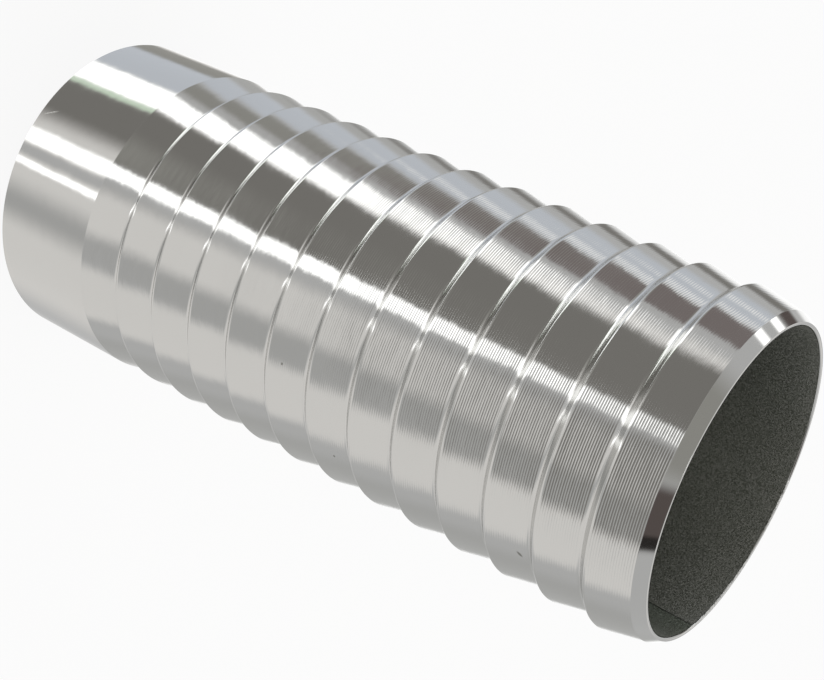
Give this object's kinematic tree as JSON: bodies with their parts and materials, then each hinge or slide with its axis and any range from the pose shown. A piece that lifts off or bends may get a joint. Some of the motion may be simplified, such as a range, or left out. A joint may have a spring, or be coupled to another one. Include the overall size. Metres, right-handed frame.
{
  "type": "hose barb tail",
  "caption": "Straight weld-on steel hose tail: plain tube end for welding, saw-tooth barbs along the outside that grip a pushed-on hose, and a chamfered nose around a clear bore.",
  "frame": {"origin": "centre of the square weld end's face, in the plane that it stands on", "axes": "+Z along the tail's axis, from the weld end towards the nose that the hose is pushed on over; the tail is round, so +X and +Y are any two square directions"},
  "size_m": [0.0508, 0.0508, 0.1177],
  "materials": {
    "stainless": "turned and polished stainless steel; the bore is left dull as the tube was pickled"
  },
  "bodies": {
    "root": {"hose_tail": "stainless"}
  },
  "joints": []
}
